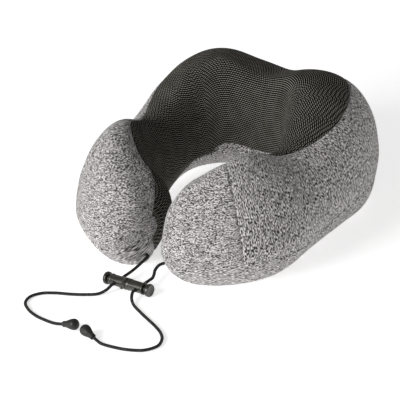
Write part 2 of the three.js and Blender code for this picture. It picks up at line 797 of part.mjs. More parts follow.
function cord(side, pillowShift) {
  const curve = new THREE.CatmullRomCurve3(cordPath(side, pillowShift), false, "centripetal");
  curve.arcLengthDivisions = 1200;
  return tubeAlong(curve, CORD_RADIUS, CORD_SIDES, 50);
}

// A bell shaped rubber end with a blind hole for the cord.
function cordEnd(frame) {
  const profile = [
    [END_HOLE_DEPTH, 0],
    [END_HOLE_DEPTH, END_HOLE],
    [0, END_HOLE],
    [0, END_LIP],
    [3, END_LIP + 0.2],
    [8, 4.5],
    [12.5, END_RADIUS],
    [15.5, END_RADIUS - 1.1],
    [END_LENGTH, 2.4],
    [END_LENGTH, 0],
  ];
  const geometry = fromManifold(turned(profile, 16));
  const turn = new THREE.Quaternion().setFromUnitVectors(new THREE.Vector3(1, 0, 0), frame.axis);
  const mesh = geometry.applyQuaternion(turn);
  return mesh.translate(frame.start.x, frame.start.y, frame.start.z);
}

// ---------- assembly ----------
const object = new THREE.Group();
object.name = "neck_pillow";

const pillow = new THREE.Group();
pillow.name = "pillow";
pillow.add(
  part("foam_core", foamCore(), foam),
  part("neck_panel", sheet(cellsOf(beforePatch, NECK), []), meshFabric),
  part("side_panel", sheet(cellsOf(inBack, SIDE), []), greyFabric),
  part("tip_panel_left", tipPanel(-1), greyFabric),
  part("tip_panel_right", tipPanel(1), greyFabric),
  part("bottom_panel", sheet(cellsOf(beforePatch, BASE), []), greyFabric),
  part("zip_tape_upper", zipTapeBand(1), zipTape),
  part("zip_tape_lower", zipTapeBand(-1), zipTape),
  part("zip_coil_upper", zipCoil(1), zipPlastic),
  part("zip_coil_lower", zipCoil(-1), zipPlastic),
  part("zip_stop_left", zipStop(-1), zipMetal),
  part("zip_stop_right", zipStop(1), zipMetal),
  part("zip_slider", sliderWithPin(), zipMetal),
  part("zip_pull", pullTab(), zipMetal),
);

// The origin is under the middle of the pillow's box.
const extent = new THREE.Box3().setFromObject(pillow);
const pillowShift = -(extent.min.y + extent.max.y) / 2;
pillow.position.y = pillowShift;

const lock = new THREE.Group();
lock.name = "cord_lock";
lock.position.copy(LOCK_CENTRE);
lock.add(
  part("lock_barrel", lockBarrel(), lockPlastic),
  part("lock_button_left", lockButton(-1), lockPlastic),
  part("lock_button_right", lockButton(1), lockPlastic),
  part("lock_spring_left", lockSpring(-1), springSteel),
  part("lock_spring_right", lockSpring(1), springSteel),
);

object.add(
  pillow,
  lock,
  part("cord_left", cord(-1, pillowShift), cordBraid),
  part("cord_right", cord(1, pillowShift), cordBraid),
  part("cord_end_left", cordEnd(leftEnd), endRubber),
  part("cord_end_right", cordEnd(rightEnd), endRubber),
);

export default object;
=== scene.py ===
"""U shaped neck pillow: the visual model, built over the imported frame.

Blender works in metres. The design values below are in millimetres, and the
meshes are scaled by MM as they are made.
"""

import math

import bpy
import numpy as np
from mathutils import Matrix, Vector


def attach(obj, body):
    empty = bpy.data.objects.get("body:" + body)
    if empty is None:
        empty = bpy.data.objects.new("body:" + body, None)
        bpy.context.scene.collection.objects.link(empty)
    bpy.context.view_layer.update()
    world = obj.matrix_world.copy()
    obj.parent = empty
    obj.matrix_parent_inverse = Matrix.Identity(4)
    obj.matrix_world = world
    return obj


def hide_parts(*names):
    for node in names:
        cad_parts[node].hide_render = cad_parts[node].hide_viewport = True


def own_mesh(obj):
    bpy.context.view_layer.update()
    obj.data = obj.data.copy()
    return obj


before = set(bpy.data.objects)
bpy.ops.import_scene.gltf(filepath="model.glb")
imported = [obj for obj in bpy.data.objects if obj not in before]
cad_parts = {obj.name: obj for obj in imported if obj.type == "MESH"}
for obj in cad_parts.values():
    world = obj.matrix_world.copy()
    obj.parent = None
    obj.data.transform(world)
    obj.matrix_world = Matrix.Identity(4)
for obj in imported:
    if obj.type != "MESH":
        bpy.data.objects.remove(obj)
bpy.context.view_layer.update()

MM = 0.001

# ---------- driving dimensions, the same as the frame's ----------
STATIONS = [0, 16, 32, 62, 90, 115, 138, 160]
NECK_RADIUS = [70, 71, 71, 63, 59, 61, 59, 50]
OUTER_RADIUS = [149, 152, 160.5, 139, 123, 132, 136, 132]
TOP_HEIGHT = [126, 132, 138, 118, 101, 116, 110, 92]
NECK_WAIST_HEIGHT = [45, 46, 47, 48, 42, 36, 35, 39]
OUTER_WAIST_HEIGHT = [60, 61, 62, 58, 46, 41, 40, 35]
RIDGE_PLACE = [0.21, 0.24, 0.31, 0.41, 0.36, 0.34, 0.46, 0.58]
OUTER_ROUNDNESS = [2.3, 2.34, 2.4, 2.27, 1.8, 1.6, 1.5, 1.45]
NECK_ROUNDNESS = [2.4, 2.42, 2.45, 2.5, 2.47, 2.32, 2.44, 2.63]
BASE_PLACE = [0.8, 0.8, 0.8, 0.72, 0.49, 0.49, 0.49, 0.49]
BASE_HEIGHT = [-2, -2, 1, 8, -3, -5, -5, -5]
BASE_OUTER_ROUNDNESS = 1.6
BASE_NECK_ROUNDNESS = 1.26
LAST_STATION_USED = 164
TIP_START = 152.7
TIP_END = 171.5
TIP_ROUNDNESS = 2.5
NECK_TOP_SEAM = [1.6, 1.52, 1.41, 1.35, 1.07, 0.83, 0.56, 0.6]
OUTER_BASE_SEAM = [2.42, 2.424, 2.44, 2.4, 2.36, 2.26, 2.16, 2.2]
NECK_BASE_SEAM = [4.03, 4.035, 4.037, 3.77, 3.24, 3.27, 3.27, 3.3]
TIP_SEAM_ANGLE = 132
PILLOW_SHIFT = -13.484

ZIP_SEAM_ANGLE = 24
ZIP_LENGTH = 132
ZIP_WINDOW = 3.9
ZIP_WINDOW_ANGLE = 27.5

CORD_RADIUS = 1.5
CORD_HOLE_RADIUS = 1.95
CORD_CLEARANCE = 0.3
LIES = CORD_RADIUS + 0.2
CORD_EXIT_ANGLE = 169.5
CORD_EXIT_PLACE = 2.82
LOCK_CENTRE = Vector((-4.5, -148.5, 6.4))
LOCK_CORD_PLACE = 13
LOCK_HALF_LENGTH = 20
LOCK_RADIUS = 5.7
LOCK_BORE = 4
BUTTON_TRAVEL = 3
BUTTON_STEM = 3.6
BUTTON_FOOT = 2.6
BUTTON_HEAD = 6.2
BUTTON_HEAD_THICK = 3.7
SPRING_WIRE = 0.35
SPRING_RADIUS = 2.6
SPRING_TURNS = 4
SPRING_START = 1.67
SPRING_END = 8.29
END_LENGTH = 17
END_RADIUS = 5.3
END_LIP_RADIUS = 2.8
END_REST_SPAN = 12.5

# ---------- camera, floor and light ----------
CAMERA_AZIMUTH = 41.534
CAMERA_ELEVATION = 27.351
CAMERA_ROLL = -6.698
CAMERA_DISTANCE = 2674.2
CAMERA_OFFSET = (15.433, 21.294)
CAMERA_TARGET = Vector((0, -13.486, 56))
CAMERA_LENS = 253.1


def make_camera():
    azimuth = math.radians(CAMERA_AZIMUTH)
    elevation = math.radians(CAMERA_ELEVATION)
    roll = math.radians(CAMERA_ROLL)
    back = Vector((
        math.sin(azimuth) * math.cos(elevation),
        -math.cos(azimuth) * math.cos(elevation),
        math.sin(elevation),
    ))
    level = Vector((math.cos(azimuth), math.sin(azimuth), 0))
    upright = back.cross(level)
    right = level * math.cos(roll) + upright * math.sin(roll)
    up = upright * math.cos(roll) - level * math.sin(roll)
    place = CAMERA_TARGET + back * CAMERA_DISTANCE
    place -= right * CAMERA_OFFSET[0] + up * CAMERA_OFFSET[1]
    data = bpy.data.cameras.new("camera")
    data.sensor_width = 36
    data.lens = CAMERA_LENS
    data.clip_start = 0.1
    camera = bpy.data.objects.new("camera", data)
    axes = Matrix((right, up, back)).transposed().to_4x4()
    camera.matrix_world = Matrix.Translation(place * MM) @ axes
    bpy.context.collection.objects.link(camera)
    bpy.context.scene.camera = camera


def make_light(name, azimuth, elevation, distance, size, power):
    data = bpy.data.lights.new(name, "AREA")
    data.shape = "DISK"
    data.size = size
    data.energy = power
    light = bpy.data.objects.new(name, data)
    a, e = math.radians(azimuth), math.radians(elevation)
    towards = Vector((math.sin(a) * math.cos(e), -math.cos(a) * math.cos(e), math.sin(e)))
    light.location = towards * distance + Vector((0, 0, 0.05))
    light.rotation_euler = towards.to_track_quat("Z", "Y").to_euler()
    bpy.context.collection.objects.link(light)


def make_studio():
    world = bpy.data.worlds.new("studio")
    world.use_nodes = True
    background = world.node_tree.nodes["Background"]
    background.inputs["Color"].default_value = (1.0, 1.0, 1.0, 1)
    background.inputs["Strength"].default_value = 0.25
    bpy.context.scene.world = world
    bpy.context.scene.view_settings.view_transform = "Standard"
    make_light("key", -18, 24, 2.1, 1.3, 35)


# ---------- materials ----------
class Look:
    """A procedural material, whose nodes are added one call at a time."""

    def __init__(self, name):
        self.material = bpy.data.materials.new(name)
        self.material.use_nodes = True
        self.tree = self.material.node_tree
        self.surface = self.tree.nodes["Principled BSDF"]

    def put(self, socket, value):
        if isinstance(value, bpy.types.NodeSocket):
            self.tree.links.new(value, socket)
        else:
            socket.default_value = value

    def node(self, kind, inputs, **settings):
        node = self.tree.nodes.new(kind)
        for name, value in settings.items():
            setattr(node, name, value)
        for name, value in inputs.items():
            self.put(node.inputs[name], value)
        return node

    def math(self, operation, a, b=0.0):
        return self.node("ShaderNodeMath", {0: a, 1: b}, operation=operation).outputs[0]

    def attribute(self, name):
        return self.node("ShaderNodeAttribute", {}, attribute_name=name).outputs["Vector"]

    def place(self):
        return self.node("ShaderNodeTexCoord", {}).outputs["Object"]

    def stretched(self, vector, scale):
        inputs = {"Vector": vector, "Scale": scale}
        return self.node("ShaderNodeMapping", inputs).outputs["Vector"]

    def noise(self, vector, scale, detail=2.0, roughness=0.5):
        inputs = {"Vector": vector, "Scale": scale, "Detail": detail, "Roughness": roughness}
        return self.node("ShaderNodeTexNoise", inputs).outputs["Fac"]

    def span(self, value, low, high, to_low=0.0, to_high=1.0):
        inputs = {"Value": value, "From Min": low, "From Max": high, "To Min": to_low, "To Max": to_high}
        return self.node("ShaderNodeMapRange", inputs).outputs["Result"]

    def blend(self, factor, first, second, mode="MIX"):
        inputs = {0: factor, 6: first, 7: second}
        mix = self.node("ShaderNodeMix", inputs, data_type="RGBA", blend_type=mode)
        return mix.outputs[2]

    def ramp(self, value, stops):
        node = self.node("ShaderNodeValToRGB", {"Fac": value})
        elements = node.color_ramp.elements
        while len(elements) < len(stops):
            elements.new(0.5)
        for element, (place, color) in zip(elements, stops):
            element.position = place
            element.color = (*color, 1)
        return node.outputs["Color"]

    def bump(self, height, distance, strength=1.0, under=None):
        inputs = {"Height": height, "Distance": distance, "Strength": strength}
        if under is not None:
            inputs["Normal"] = under
        return self.node("ShaderNodeBump", inputs).outputs["Normal"]

    def finish(self, **inputs):
        for name, value in inputs.items():
            self.put(self.surface.inputs[name.replace("_", " ")], value)
        return self.material


def split(look, vector):
    return look.node("ShaderNodeSeparateXYZ", {"Vector": vector}).outputs


def heather_knit(name, scale, dark, middle, light):
    """Jersey of mixed light and dark yarn. The weave attribute runs along the yarn first."""
    look = Look(name)
    weave = look.attribute("weave")
    flecks = look.noise(look.stretched(weave, (0.26, 1.0, 0.26)), scale, 0.0)
    slubs = look.noise(look.stretched(weave, (0.16, 1.0, 0.16)), 0.44 * scale, 1.0)
    cloud = look.noise(weave, 22, 1.0)
    fleck_tone = look.span(flecks, 0.38, 0.62, -0.55, 0.55)
    slub_tone = look.span(slubs, 0.34, 0.66, -0.3, 0.3)
    tone = look.math("ADD", fleck_tone, slub_tone)
    tone = look.math("ADD", tone, look.span(cloud, 0.3, 0.7, 0.46, 0.54))
    color = look.ramp(tone, [(0.12, dark), (0.5, middle), (0.9, light)])
    axes = split(look, weave)
    wale = look.math("SINE", look.math("MULTIPLY", axes[1], 2 * math.pi / (1.1 * MM)))
    loops = look.math("SINE", look.math("MULTIPLY", axes[0], 2 * math.pi / (0.9 * MM)))
    height = look.math("ADD", look.math("MULTIPLY", look.math("MULTIPLY", wale, loops), 0.35), flecks)
    normal = look.bump(height, 0.35 * MM, 0.55)
    return look.finish(
        Base_Color=color, Roughness=look.span(flecks, 0.3, 0.7, 0.96, 0.84), Normal=normal,
        Sheen_Weight=0.18, Sheen_Roughness=0.5, Specular_IOR_Level=0.15,
    )


def mesh_knit(name, row_pitch, column_pitch):
    """Black mesh in rows of small pale bars, each row set half a step from the next."""
    look = Look(name)
    weave = look.attribute("weave")
    axes = split(look, weave)
    row = look.math("DIVIDE", axes[1], row_pitch)
    number = look.math("FLOOR", row)
    across = look.math("SUBTRACT", look.math("SUBTRACT", row, number), 0.5)
    shift = look.math("MULTIPLY", look.math("MODULO", look.math("ABSOLUTE", number), 2.0), 0.5)
    column = look.math("ADD", look.math("DIVIDE", axes[0], column_pitch), shift)
    along = look.math("SUBTRACT", look.math("FRACT", column), 0.5)
    reach = look.math("ADD", look.math("POWER", look.math("DIVIDE", along, 0.47), 2.0),
                      look.math("POWER", look.math("DIVIDE", across, 0.22), 2.0))
    bar = look.span(reach, 1.0, 0.35)
    worn = look.noise(weave, 60, 2.0)
    pale = look.ramp(worn, [(0.35, (0.33, 0.31, 0.265)), (0.65, (0.45, 0.424, 0.366))])
    color = look.blend(bar, (0.004, 0.004, 0.004, 1), pale)
    normal = look.bump(bar, 0.5 * MM, 0.9)
    return look.finish(
        Base_Color=color, Roughness=look.span(bar, 0, 1, 0.95, 0.7), Normal=normal,
        Specular_IOR_Level=0.1,
    )


def open_foam(name):
    look = Look(name)
    place = look.place()
    cells = look.node("ShaderNodeTexVoronoi", {"Vector": place, "Scale": 900}).outputs["Distance"]
    cloud = look.noise(place, 30, 3.0)
    color = look.ramp(cloud, [(0.3, (0.62, 0.58, 0.46)), (0.7, (0.74, 0.7, 0.58))])
    return look.finish(Base_Color=color, Roughness=0.95, Normal=look.bump(cells, 0.5 * MM, 0.6))


def plain_weave(name, color, pitch):
    look = Look(name)
    axes = split(look, look.place())
    warp = look.math("SINE", look.math("MULTIPLY", axes[0], 2 * math.pi / pitch))
    weft = look.math("SINE", look.math("MULTIPLY", axes[2], 2 * math.pi / pitch))
    height = look.math("MULTIPLY", warp, weft)
    # The colour follows the weave's height: the dips between threads are painted darker, as painted shade,
    # and the crowns are painted lighter, as painted highlight.
    shade = look.blend(look.span(height, -1, 1), (color * 0.55, color * 0.55, color * 0.55, 1),
                       (color * 1.4, color * 1.4, color * 1.35, 1))
    return look.finish(Base_Color=shade, Roughness=0.85, Normal=look.bump(height, 0.15 * MM, 0.6))


def moulded(name, color, roughness, coat=0.0, grain=0.1):
    """Moulded plastic or rubber with a fine grain, handling scuffs and uneven gloss."""
    look = Look(name)
    place = look.place()
    fine = look.noise(place, 1600, 3.0)
    scuff = look.noise(look.stretched(place, (1.0, 3.0, 2.0)), 180, 5.0, 0.65)
    pale = tuple(min(1.0, 1.9 * value + 0.012) for value in color)
    shade = look.blend(look.span(scuff, 0.5, 0.75), (*color, 1), (*pale, 1))
    rough = look.span(scuff, 0.35, 0.7, roughness * 0.8, min(1.0, roughness * 1.45))
    return look.finish(
        Base_Color=shade, Roughness=rough, Coat_Weight=coat, Coat_Roughness=0.18,
        Normal=look.bump(fine, grain * MM, 0.35), Specular_IOR_Level=0.5,
    )


def metal(name, color, roughness):
    look = Look(name)
    place = look.place()
    brushed = look.noise(look.stretched(place, (12.0, 1.0, 1.0)), 500, 3.0)
    tarnish = look.noise(place, 140, 4.0)
    dark = tuple(value * 0.72 for value in color)
    shade = look.blend(look.span(tarnish, 0.45, 0.72), (*color, 1), (*dark, 1))
    return look.finish(
        Base_Color=shade, Metallic=1.0, Roughness=look.span(tarnish, 0.3, 0.7, roughness, roughness + 0.18),
        Normal=look.bump(brushed, 0.03 * MM, 0.4),
    )


def braided(name):
    """Black braid with a few pale threads. The weave attribute is along and around the cord."""
    look = Look(name)
    axes = split(look, look.attribute("weave"))
    along = look.math("DIVIDE", axes[0], BRAID_LAY * MM)
    one = look.math("FRACT", look.math("MULTIPLY", look.math("ADD", along, axes[1]), 4.0))
    other = look.math("FRACT", look.math("MULTIPLY", look.math("SUBTRACT", along, axes[1]), 4.0))
    strand = look.math("MULTIPLY", look.math("SINE", look.math("MULTIPLY", one, math.pi)),
                       look.math("SINE", look.math("MULTIPLY", other, math.pi)))
    cell = look.node("ShaderNodeCombineXYZ", {
        "X": look.math("FLOOR", look.math("MULTIPLY", look.math("ADD", along, axes[1]), 4.0)),
        "Y": look.math("FLOOR", look.math("MULTIPLY", look.math("SUBTRACT", along, axes[1]), 4.0)),
    }).outputs[0]
    chance = look.node("ShaderNodeTexWhiteNoise", {"Vector": cell}).outputs["Value"]
    tone = look.span(chance, 0.72, 0.95)
    thread = look.blend(tone, (0.012, 0.012, 0.012, 1), (0.085, 0.082, 0.08, 1))
    # The grooves between strands are painted near black, as painted shade; the strands' crowns carry the
    # thread colour.
    color = look.blend(look.span(strand, 0.05, 0.6), (0.003, 0.003, 0.003, 1), thread)
    return look.finish(Base_Color=color, Roughness=0.72, Normal=look.bump(strand, 0.15 * MM, 0.6),
                       Sheen_Weight=0.08, Specular_IOR_Level=0.3)


# ---------- mesh helpers ----------
def make_object(name, points, faces, material, smooth_angle=None):
    """points are in millimetres."""
    mesh = bpy.data.meshes.new(name)
    mesh.from_pydata((np.asarray(points, float) * MM).tolist(), [], faces)
    mesh.validate()
    mesh.update()
    mesh.shade_smooth()
    if smooth_angle is not None:
        mesh.set_sharp_from_angle(angle=math.radians(smooth_angle))
    mesh.materials.append(material)
    piece = bpy.data.objects.new(name, mesh)
    bpy.context.collection.objects.link(piece)
    return piece


def store_weave(piece, values):
    """values are one vector for each vertex, in metres."""
    layer = piece.data.attributes.new("weave", "FLOAT_VECTOR", "POINT")
    layer.data.foreach_set("vector", np.asarray(values, np.float32).ravel())


def place_piece(piece, body, replaced):
    """Attach a piece to its body, and hide the node of the frame that it stands for."""
    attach(piece, body)
    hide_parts(replaced)
    return piece


def combine(piece, tool, operation):
    """Join a tool to the piece, or cut it away, and drop the tool."""
    modifier = piece.modifiers.new("combine", "BOOLEAN")
    modifier.operation = operation
    modifier.solver = "EXACT"
    modifier.object = tool
    depsgraph = bpy.context.evaluated_depsgraph_get()
    mesh = bpy.data.meshes.new_from_object(piece.evaluated_get(depsgraph))
    piece.modifiers.clear()
    old = piece.data
    piece.data = mesh
    bpy.data.meshes.remove(old)
    bpy.data.objects.remove(tool)
    mesh.shade_smooth()
    mesh.set_sharp_from_angle(angle=math.radians(32))


def turned(name, profile, sides, material, matrix=Matrix.Identity(4)):
    """A solid turned about the X axis from (along, radius) points; its ends are on the axis."""
    points, rings = [], []
    for along, radius in profile:
        if radius == 0:
            rings.append([len(points)] * sides)
            points.append((along, 0, 0))
            continue
        rings.append([len(points) + k for k in range(sides)])
        for k in range(sides):
            turn = 2 * math.pi * k / sides
            points.append((along, radius * math.cos(turn), radius * math.sin(turn)))
    faces = []
    for first, second in zip(rings, rings[1:]):
        for k in range(sides):
            corners = [first[k], first[(k + 1) % sides], second[(k + 1) % sides], second[k]]
            faces.append(list(dict.fromkeys(corners)))
    points = [matrix @ Vector(point) for point in points]
    return make_object(name, points, faces, material, 32)


def box_piece(name, low, high, material):
    corners = [(x, y, z) for x in (low[0], high[0]) for y in (low[1], high[1]) for z in (low[2], high[2])]
    faces = [(0, 1, 3, 2), (4, 6, 7, 5), (0, 4, 5, 1), (2, 3, 7, 6), (0, 2, 6, 4), (1, 5, 7, 3)]
    return make_object(name, corners, faces, material, 30)


def frames_along(path):
    """Tangent, first and second cross directions at each point of a path, without twist."""
    tangents = np.gradient(path, axis=0)
    tangents /= np.linalg.norm(tangents, axis=1, keepdims=True)
    first = np.cross(tangents[0], (0.0, 0.0, 1.0))
    if np.linalg.norm(first) < 0.1:
        first = np.cross(tangents[0], (1.0, 0.0, 0.0))
    across = []
    for tangent in tangents:
        first = first - tangent * np.dot(first, tangent)
        first = first / np.linalg.norm(first)
        across.append(first)
    across = np.array(across)
    return tangents, across, np.cross(tangents, across)


def sweep(name, path, radii, sides, material):
    """A closed tube along a path. radii holds one radius for each ring and side."""
    _, first, second = frames_along(path)
    turns = 2 * np.pi * np.arange(sides) / sides
    ring = first[:, None] * np.cos(turns)[None, :, None] + second[:, None] * np.sin(turns)[None, :, None]
    points = (path[:, None] + ring * radii[:, :, None]).reshape(-1, 3)
    count = len(path)
    faces = []
    for i in range(count - 1):
        for k in range(sides):
            a, b = i * sides + k, i * sides + (k + 1) % sides
            faces.append((a, b, b + sides, a + sides))
    faces.append(list(range(sides))[::-1])
    faces.append([(count - 1) * sides + k for k in range(sides)])
    return make_object(name, points, faces, material)


# ---------- the pillow's surface ----------
def station_curve(values):
    """A natural cubic spline through mirrored stations."""
    places = np.array([-place for place in STATIONS[:0:-1]] + STATIONS, float)
    heights = np.array(values[:0:-1] + values, float)
    steps = np.diff(places)
    slopes = np.diff(heights) / steps
    system = np.eye(len(places))
    bends = np.zeros(len(places))
    for i in range(1, len(places) - 1):
        system[i, i - 1:i + 2] = steps[i - 1], 2 * (steps[i - 1] + steps[i]), steps[i]
        bends[i] = 6 * (slopes[i] - slopes[i - 1])
    bends = np.linalg.solve(system, bends)

    def value_at(angle):
        at = np.minimum(np.abs(angle), LAST_STATION_USED)
        i = np.clip(np.searchsorted(places, at, side="right") - 1, 0, len(places) - 2)
        b = (at - places[i]) / steps[i]
        a = 1 - b
        sag = ((a ** 3 - a) * bends[i] + (b ** 3 - b) * bends[i + 1]) * steps[i] ** 2 / 6
        return a * heights[i] + b * heights[i + 1] + sag

    return value_at


neck_radius = station_curve(NECK_RADIUS)
outer_radius = station_curve(OUTER_RADIUS)
top_height = station_curve(TOP_HEIGHT)
neck_waist = station_curve(NECK_WAIST_HEIGHT)
outer_waist = station_curve(OUTER_WAIST_HEIGHT)
ridge_place = station_curve(RIDGE_PLACE)
outer_roundness = station_curve(OUTER_ROUNDNESS)
neck_roundness = station_curve(NECK_ROUNDNESS)
neck_top_seam = station_curve(NECK_TOP_SEAM)
outer_base_seam = station_curve(OUTER_BASE_SEAM)
neck_base_seam = station_curve(NECK_BASE_SEAM)
base_place = station_curve(BASE_PLACE)
base_height = station_curve(BASE_HEIGHT)


def quarter(turn, side, crest, roundness):
    angle = np.clip(turn, 0, 1) * np.pi / 2
    across = np.abs(np.cos(angle)) ** (2 / roundness)
    along = np.abs(np.sin(angle)) ** (2 / roundness)
    return crest[0] + (side[0] - crest[0]) * across, side[1] + (crest[1] - side[1]) * along


def tip_size(angle):
    """The section's share of its full size: 1 along the arms, down to 0 at the tips."""
    into = np.clip((np.abs(angle) - TIP_START) / (TIP_END - TIP_START), 0, 1)
    return (1 - into ** TIP_ROUNDNESS) ** (1 / TIP_ROUNDNESS)


def surface(angle, place):
    """The cover's outside, in millimetres, about the middle of the neck opening."""
    angle, place = np.broadcast_arrays(np.asarray(angle, float), np.mod(place, 4))
    inside, outside = neck_radius(angle), outer_radius(angle)
    width = outside - inside
    neck_side = (inside, neck_waist(angle))
    outer_side = (outside, outer_waist(angle))
    ridge = (inside + width * ridge_place(angle), top_height(angle))
    base = (inside + width * base_place(angle), base_height(angle))
    parts = [
        quarter(place, neck_side, ridge, neck_roundness(angle)),
        quarter(2 - place, outer_side, ridge, outer_roundness(angle)),
        quarter(place - 2, outer_side, base, BASE_OUTER_ROUNDNESS),
        quarter(4 - place, neck_side, base, BASE_NECK_ROUNDNESS),
    ]
    which = np.clip(np.floor(place).astype(int), 0, 3)
    radius = np.choose(which, [part[0] + 0 * place for part in parts])
    height = np.choose(which, [part[1] + 0 * place for part in parts])
    size = tip_size(angle)
    middle_radius = (inside + outside) / 2
    middle_height = (neck_side[1] + outer_side[1]) / 2
    radius = middle_radius + (radius - middle_radius) * size
    height = np.maximum(0, middle_height + (height - middle_height) * size)
    turn = np.radians(angle)
    return np.stack([radius * np.sin(turn), radius * np.cos(turn), height], -1)


def surface_normal(angle, place):
    reach = np.minimum(0.4, (TIP_END - np.abs(angle)) / 2)
    along = surface(angle + reach, place) - surface(angle - reach, place)
    across = surface(angle, place + 0.012) - surface(angle, place - 0.012)
    normal = np.cross(along, across)
    return normal / np.linalg.norm(normal, axis=-1, keepdims=True)


# ---------- cords ----------
BRAID_LAY = 5.2
CORD_STEP = 0.36


def smooth_path(points, step):
    """A centripetal curve through the points, as evenly spaced points about a step apart."""
    points = np.asarray(points, float)
    ends = np.vstack([2 * points[0] - points[1], points, 2 * points[-1] - points[-2]])
    dense = []
    for before, start, end, after in zip(ends, ends[1:], ends[2:], ends[3:]):
        t0, t1, t2 = (np.linalg.norm(b - a) ** 0.5 for a, b in ((before, start), (start, end), (end, after)))
        leave = ((start - before) / t0 - (end - before) / (t0 + t1) + (end - start) / t1) * t1
        arrive = ((end - start) / t1 - (after - start) / (t1 + t2) + (after - end) / t2) * t1
        t = np.linspace(0, 1, 60, endpoint=False)[:, None]
        dense.append((2 * t ** 3 - 3 * t ** 2 + 1) * start + (t ** 3 - 2 * t ** 2 + t) * leave
                     + (3 * t ** 2 - 2 * t ** 3) * end + (t ** 3 - t ** 2) * arrive)
    dense = np.vstack(dense + [points[-1:]])
    reached = np.concatenate([[0], np.cumsum(np.linalg.norm(np.diff(dense, axis=0), axis=1))])
    even = np.linspace(0, reached[-1], int(round(reached[-1] / step)) + 1)
    return np.stack([np.interp(even, reached, dense[:, k]) for k in range(3)], -1), float(reached[-1])


def exit_points(side):
    angle = side * CORD_EXIT_ANGLE
    start = surface(angle, CORD_EXIT_PLACE) + np.array((0, PILLOW_SHIFT, 0))
    out = surface_normal(angle, CORD_EXIT_PLACE)
    return [start + out * reach for reach in (0.35, 1.8, 3.4)]


def end_frame(start, towards):
    flat = Vector((towards[0] - start[0], towards[1] - start[1], 0)).normalized()
    tilt = math.asin((END_RADIUS - END_LIP_RADIUS) / END_REST_SPAN)
    axis = flat * math.cos(tilt) + Vector((0, 0, math.sin(tilt)))
    return Vector(start), axis


END_FRAMES = {-1: end_frame((-14.2, -230.5, 3.4), (3, -229)), 1: end_frame((26, -235.5, 3.4), (9, -231))}
TO_LOCK = {
    -1: [(-14.6, -113.5, 11), (-16.8, -122, 7.6)],
    1: [(7.5, -107.2, 11.6), (2.6, -111, 9.8), (3, -118, 8), (6.6, -124.5, 6.8)],
}
LOOPS = {
    -1: [(-19, -163.5, 4), (-23.5, -170, 2), (-34, -177, LIES), (-47, -183, LIES), (-61, -188, LIES),
         (-73, -195, LIES), (-78, -204.5, LIES), (-75, -215, LIES), (-64, -223.5, LIES),
         (-50, -229, LIES), (-38, -231, LIES)],
    1: [(11, -163, 4), (18, -169.5, 2), (34, -178, LIES), (48, -184.5, LIES), (62, -191, LIES),
        (74, -198, LIES), (82, -206, LIES), (86, -217, LIES), (80, -228.5, LIES),
        (67, -235, LIES), (52, -238, LIES)],
}


def cord_route(side):
    x = LOCK_CENTRE.x + side * LOCK_CORD_PLACE
    through = [(x, y, LOCK_CENTRE.z) for y in (-129.5, -133, -141, -148.5, -155, -157.5)]
    start, axis = END_FRAMES[side]
    into = [start + axis * reach for reach in (-12, -6, 0, 3.9)]
    into = [(p.x, p.y, max(p.z, LIES)) for p in into]
    return [*exit_points(side), *TO_LOCK[side], *through, *LOOPS[side], *into]


def make_cord(side, word, material, end):
    path, length = smooth_path(cord_route(side), CORD_STEP)
    reached = np.linspace(0, length, len(path))
    sides = 24
    around = np.arange(sides) / sides
    strands = reached[:, None] / BRAID_LAY
    relief = np.abs(np.sin(4 * np.pi * (strands + around))) * np.abs(np.sin(4 * np.pi * (strands - around)))
    radii = CORD_RADIUS * (0.93 + 0.1 * relief)
    piece = sweep(f"cord_{word}_braid", path, radii, sides, material)
    weave = np.stack(np.broadcast_arrays(reached[:, None] * MM, around[None, :], 0.0), -1)
    store_weave(piece, weave.reshape(-1, 3))
    place_piece(piece, "pillow", f"cord_{word}")


def make_cord_end(side, word, material):
    """A bell shaped rubber end, with a rolled lip where the cord goes in and a rounded nose."""
    start, axis = END_FRAMES[side]
    turn = axis.to_track_quat("X", "Z").to_matrix().to_4x4()
    matrix = Matrix.Translation(start) @ turn
    socket = [(4.2, 0), (4.2, 1.7), (3.4, 1.85), (0.5, 1.85), (0.05, 2.1), (0, 2.4)]
    lip = [(0.15, 2.75), (0.6, 2.95), (1.2, 2.95), (1.7, 2.8), (2.3, 2.85), (3, 3.0)]
    bell = [(4.5, 3.35), (6.2, 3.85), (8, 4.45), (10, 5.0), (11.6, 5.24), (12.8, END_RADIUS)]
    nose = [(13.8, 5.18), (14.6, 4.85), (15.4, 4.3), (16.1, 3.55), (16.6, 2.6), (16.9, 1.4), (END_LENGTH, 0)]
    piece = turned(f"cord_end_{word}_bell", socket + lip + bell + nose, 40, material, matrix)
    return place_piece(piece, "pillow", f"cord_end_{word}")


# ---------- the cover ----------
EDGE_STEPS = (0, 0.35, 0.8, 1.3, 1.9, 2.7, 3.8)
SEAM_HALF_GAP = 0.06
SIDE_CELLS, BASE_CELLS, NECK_CELLS = 46, 28, 62
GROOVE_DEPTH = 0.95
GROOVE_WIDTH = 1.5
FABRIC = 1.1
FLOOR_CLEARANCE = 0.35
BASE_WEAVE_RADIUS = 105
NECK_WEAVE_RADIUS = 96
TIP_FACE_ANGLE = 148
FOAM_DEPTH = 3.6
FOAM_FLOOR = 2.2
FOAM_STRIDE = 2
ZIP_DENT = 2.2
PATCH_SHARE = 0.3
PATCH_TURN = math.acos(PATCH_SHARE ** (TIP_ROUNDNESS / 2))
PATCH_ANGLE = TIP_START + (TIP_END - TIP_START) * math.sin(PATCH_TURN) ** (2 / TIP_ROUNDNESS)
TIP_MILLIMETRES = 47
MILLIMETRES_PER_DEGREE = 1.9


